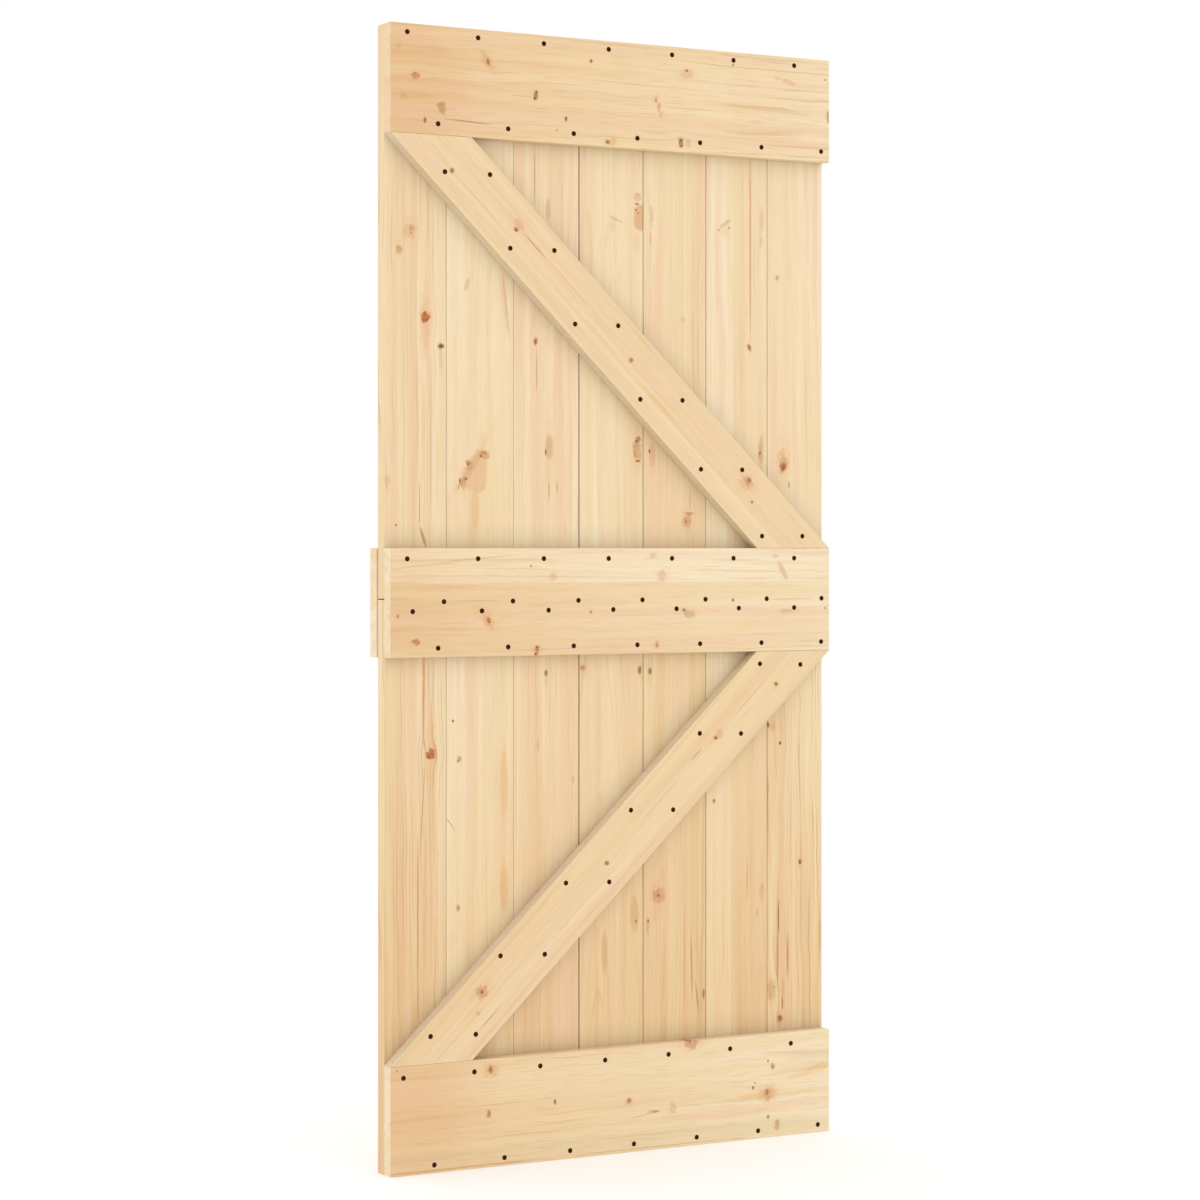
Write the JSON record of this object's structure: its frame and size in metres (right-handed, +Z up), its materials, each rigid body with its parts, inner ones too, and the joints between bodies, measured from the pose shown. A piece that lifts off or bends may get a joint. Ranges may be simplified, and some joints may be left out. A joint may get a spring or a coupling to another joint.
{
  "type": "barn door",
  "caption": "Raw pine boarded door leaf with tongued and grooved planks, front rails, a rear middle rail, two diagonal braces and dark countersunk screws.",
  "frame": {"origin": "middle of the leaf's bottom edge, halfway through its thickness", "axes": "+X to the right across the width, +Y from the front to the rear, +Z up along the height"},
  "size_m": [0.956, 0.081, 2.1],
  "materials": {
    "plank_pine": "raw planed",
    "rail_pine": "raw planed",
    "brace_pine": "raw planed",
    "dark_steel": "satin dark brown"
  },
  "bodies": {
    "root": {"upper_plank_1": "plank_pine", "upper_plank_2": "plank_pine", "upper_plank_3": "plank_pine", "upper_plank_4": "plank_pine", "upper_plank_5": "plank_pine", "upper_plank_6": "plank_pine", "upper_plank_7": "plank_pine", "lower_plank_1": "plank_pine", "lower_plank_2": "plank_pine", "lower_plank_3": "plank_pine", "lower_plank_4": "plank_pine", "lower_plank_5": "plank_pine", "lower_plank_6": "plank_pine", "lower_plank_7": "plank_pine", "top_rail": "rail_pine", "mid_rail": "rail_pine", "bottom_rail": "rail_pine", "rear_rail": "rail_pine", "upper_brace": "brace_pine", "lower_brace": "brace_pine", "top_rail_screws": "dark_steel", "mid_rail_screws": "dark_steel", "bottom_rail_screws": "dark_steel", "upper_brace_screws": "dark_steel", "lower_brace_screws": "dark_steel"}
  },
  "joints": []
}
